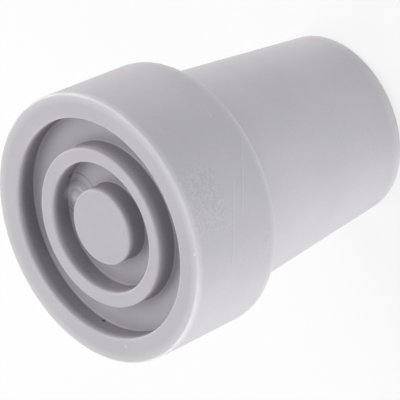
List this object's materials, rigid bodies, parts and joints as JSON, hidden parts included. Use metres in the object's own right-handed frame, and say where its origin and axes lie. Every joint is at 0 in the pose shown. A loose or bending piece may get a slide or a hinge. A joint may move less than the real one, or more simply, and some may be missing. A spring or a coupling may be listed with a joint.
{
  "type": "rubber cane tip",
  "caption": "One-piece moulded rubber tip for a walking cane: tapered sleeve with a blind round socket, and a wide foot whose tread has concentric rings.",
  "frame": {"origin": "centre of the sleeve's mouth, on the plane that the tip stands on", "axes": "+Z along the axis of the tip, from the mouth of the socket up to the tread"},
  "size_m": [0.038, 0.038, 0.0454],
  "materials": {
    "grey_rubber": "matte"
  },
  "bodies": {
    "root": {"cane_tip": "grey_rubber"}
  },
  "joints": []
}
